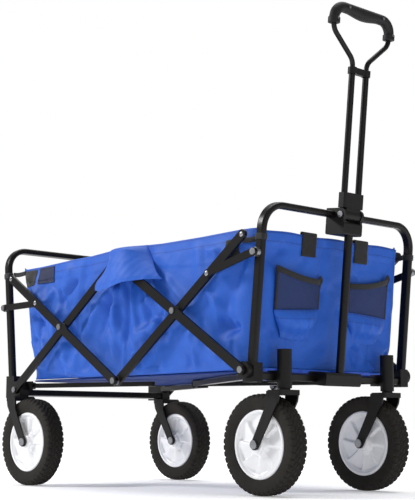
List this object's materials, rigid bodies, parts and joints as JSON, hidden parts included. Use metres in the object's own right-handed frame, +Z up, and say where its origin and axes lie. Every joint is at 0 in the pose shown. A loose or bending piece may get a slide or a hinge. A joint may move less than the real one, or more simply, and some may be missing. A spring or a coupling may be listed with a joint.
{
  "type": "folding utility wagon",
  "caption": "Folding cloth utility wagon with scissor sides, swivel front casters and a telescoping pull handle.",
  "frame": {"origin": "on the ground under the middle of the bounding box", "axes": "+X forward, the pull handle end; +Y left; +Z up"},
  "size_m": [0.951, 0.507, 0.966],
  "materials": {
    "black_frame": "black powder coat, semi-gloss",
    "black_plastic": "moulded black",
    "rivet_steel": "zinc plated",
    "grip_plastic": "moulded black, fine texture",
    "blue_cloth": "coated woven polyester, royal blue",
    "floor_cloth": "blue cloth over a stiff board",
    "mesh_cloth": "dark mesh on blue cloth",
    "black_webbing": "flat woven webbing",
    "label_cloth": "plain woven label",
    "tyre_rubber": "knobbly solid rubber",
    "disc_plastic": "glossy white moulding"
  },
  "bodies": {
    "front_frame": {"front_hoop": "black_frame", "front_cross_bar": "black_frame", "front_corner_blocks": "black_plastic", "front_rivets": "rivet_steel", "caster_housings": "black_plastic", "front_post": "black_frame", "post_foot": "black_plastic", "handle_bracket": "black_plastic", "handle_pivot_pin": "rivet_steel", "tub_front_panel": "blue_cloth", "front_pockets": "mesh_cloth", "front_straps": "black_webbing", "corner_straps_front": "black_webbing", "tub_sides": "blue_cloth", "joint_covers": "blue_cloth", "label_patch": "label_cloth"},
    "handle_arm": {"handle_yoke": "black_plastic", "handle_outer_tubes": "black_frame", "handle_collar": "black_plastic"},
    "handle_loop": {"handle_loop_rod": "black_frame", "handle_grip": "grip_plastic", "handle_screws": "rivet_steel"},
    "bars_d": {"bar_d_right": "black_frame", "bar_d_left": "black_frame", "rivets_d": "rivet_steel"},
    "bars_b": {"bar_b_right": "black_frame", "bar_b_left": "black_frame"},
    "bars_c": {"bar_c_right": "black_frame", "bar_c_left": "black_frame"},
    "bars_a": {"bar_a_right": "black_frame", "bar_a_left": "black_frame", "rivets_a": "rivet_steel"},
    "rear_frame": {"rear_hoop": "black_frame", "rear_cross_bar": "black_frame", "rear_corner_blocks": "black_plastic", "rear_rivets": "rivet_steel", "rear_forks": "black_plastic", "axles_rear": "rivet_steel", "tub_rear_panel": "blue_cloth", "corner_straps_rear": "black_webbing"},
    "front_link_pair": {"front_links": "black_frame"},
    "rear_link_pair": {"rear_links": "black_frame"},
    "floor_front": {"floor_bars_front": "black_frame", "floor_board_front": "floor_cloth"},
    "floor_rear": {"floor_bars_rear": "black_frame", "floor_board_rear": "floor_cloth"},
    "floor_centre": {"floor_hub": "black_plastic", "floor_board_centre": "floor_cloth"},
    "caster_right": {"caster_fork_right": "black_plastic", "axle_front_right": "rivet_steel"},
    "wheel_front_right": {"tyre_front_right": "tyre_rubber", "wheel_disc_front_right": "disc_plastic"},
    "wheel_rear_right": {"tyre_rear_right": "tyre_rubber", "wheel_disc_rear_right": "disc_plastic"},
    "caster_left": {"caster_fork_left": "black_plastic", "axle_front_left": "rivet_steel"},
    "wheel_front_left": {"tyre_front_left": "tyre_rubber", "wheel_disc_front_left": "disc_plastic"},
    "wheel_rear_left": {"tyre_rear_left": "tyre_rubber", "wheel_disc_rear_left": "disc_plastic"}
  },
  "joints": [
    {"name": "fold", "type": "hinge", "parent": "front_frame", "child": "bars_d", "pos_m": [0.3584, 0, 0.236], "axis": [0, 1, 0], "range_deg": [0, 46], "deforming": ["tub_sides", "joint_covers", "label_patch", "corner_straps_front", "corner_straps_rear"]},
    {"name": "fold_b", "type": "hinge", "parent": "bars_d", "child": "bars_b", "pos_m": [-0.02956, 0, 0.48316], "axis": [0, 1, 0], "range_deg": [-92.02, 0]},
    {"name": "fold_c", "type": "hinge", "parent": "bars_d", "child": "bars_c", "pos_m": [0.16442, 0, 0.35958], "axis": [0, 1, 0], "range_deg": [-92.02, 0]},
    {"name": "fold_a", "type": "hinge", "parent": "bars_b", "child": "bars_a", "pos_m": [-0.21681, 0, 0.3496], "axis": [0, 1, 0], "range_deg": [0, 92.02]},
    {"name": "fold_rear", "type": "hinge", "parent": "bars_b", "child": "rear_frame", "pos_m": [-0.40405, 0, 0.21603], "axis": [0, 1, 0], "range_deg": [0, 58.02]},
    {"name": "front_link_turn", "type": "hinge", "parent": "front_frame", "child": "front_link_pair", "pos_m": [0.38657, 0, 0.45615], "axis": [0, 1, 0], "range_deg": [0, 77.46]},
    {"name": "rear_link_turn", "type": "hinge", "parent": "rear_frame", "child": "rear_link_pair", "pos_m": [-0.45038, 0, 0.40811], "axis": [0, 1, 0], "range_deg": [-94.46, 0]},
    {"name": "floor_front_lift", "type": "hinge", "parent": "front_frame", "child": "floor_front", "pos_m": [0.3364, 0, 0.225], "axis": [0, 1, 0], "range_deg": [0, 86.33]},
    {"name": "floor_centre_level", "type": "hinge", "parent": "floor_front", "child": "floor_centre", "pos_m": [-0.0226, 0, 0.225], "axis": [0, 1, 0], "range_deg": [-86.33, 0]},
    {"name": "floor_rear_lift", "type": "hinge", "parent": "rear_frame", "child": "floor_rear", "pos_m": [-0.3816, 0, 0.225], "axis": [0, 1, 0], "range_deg": [-87.37, 0]},
    {"name": "handle_tilt", "type": "hinge", "parent": "front_frame", "child": "handle_arm", "pos_m": [0.42027, 0, 0.54724], "axis": [0, 1, 0], "range_deg": [0, 100]},
    {"name": "handle_extend", "type": "slide", "parent": "handle_arm", "child": "handle_loop", "axis": [0.1045, 0, 0.9945], "range_m": [0, 0.2]},
    {"name": "caster_swivel_right", "type": "hinge", "parent": "front_frame", "child": "caster_right", "pos_m": [0.3824, -0.152, 0.235], "axis": [0, 0, 1], "continuous": true},
    {"name": "wheel_spin_front_right", "type": "hinge", "parent": "caster_right", "child": "wheel_front_right", "pos_m": [0.3274, -0.152, 0.097], "axis": [0, 1, 0], "continuous": true},
    {"name": "wheel_spin_rear_right", "type": "hinge", "parent": "rear_frame", "child": "wheel_rear_right", "pos_m": [-0.3446, -0.222, 0.097], "axis": [0, 1, 0], "continuous": true},
    {"name": "caster_swivel_left", "type": "hinge", "parent": "front_frame", "child": "caster_left", "pos_m": [0.3824, 0.152, 0.235], "axis": [0, 0, 1], "continuous": true},
    {"name": "wheel_spin_front_left", "type": "hinge", "parent": "caster_left", "child": "wheel_front_left", "pos_m": [0.3274, 0.152, 0.097], "axis": [0, 1, 0], "continuous": true},
    {"name": "wheel_spin_rear_left", "type": "hinge", "parent": "rear_frame", "child": "wheel_rear_left", "pos_m": [-0.3446, 0.222, 0.097], "axis": [0, 1, 0], "continuous": true}
  ],
  "couplings": [
    {"joint": "fold_b", "follows": "fold", "ratio": -2},
    {"joint": "fold_c", "follows": "fold", "ratio": -2},
    {"joint": "fold_a", "follows": "fold", "ratio": 2},
    {"joint": "fold_rear", "follows": "fold", "ratio": 1.2609},
    {"joint": "front_link_turn", "follows": "fold", "ratio": 1.6835},
    {"joint": "rear_link_turn", "follows": "fold", "ratio": -2.0531},
    {"joint": "floor_front_lift", "follows": "fold", "ratio": 1.8763},
    {"joint": "floor_centre_level", "follows": "fold", "ratio": -1.8763},
    {"joint": "floor_rear_lift", "follows": "fold", "ratio": -1.899}
  ]
}
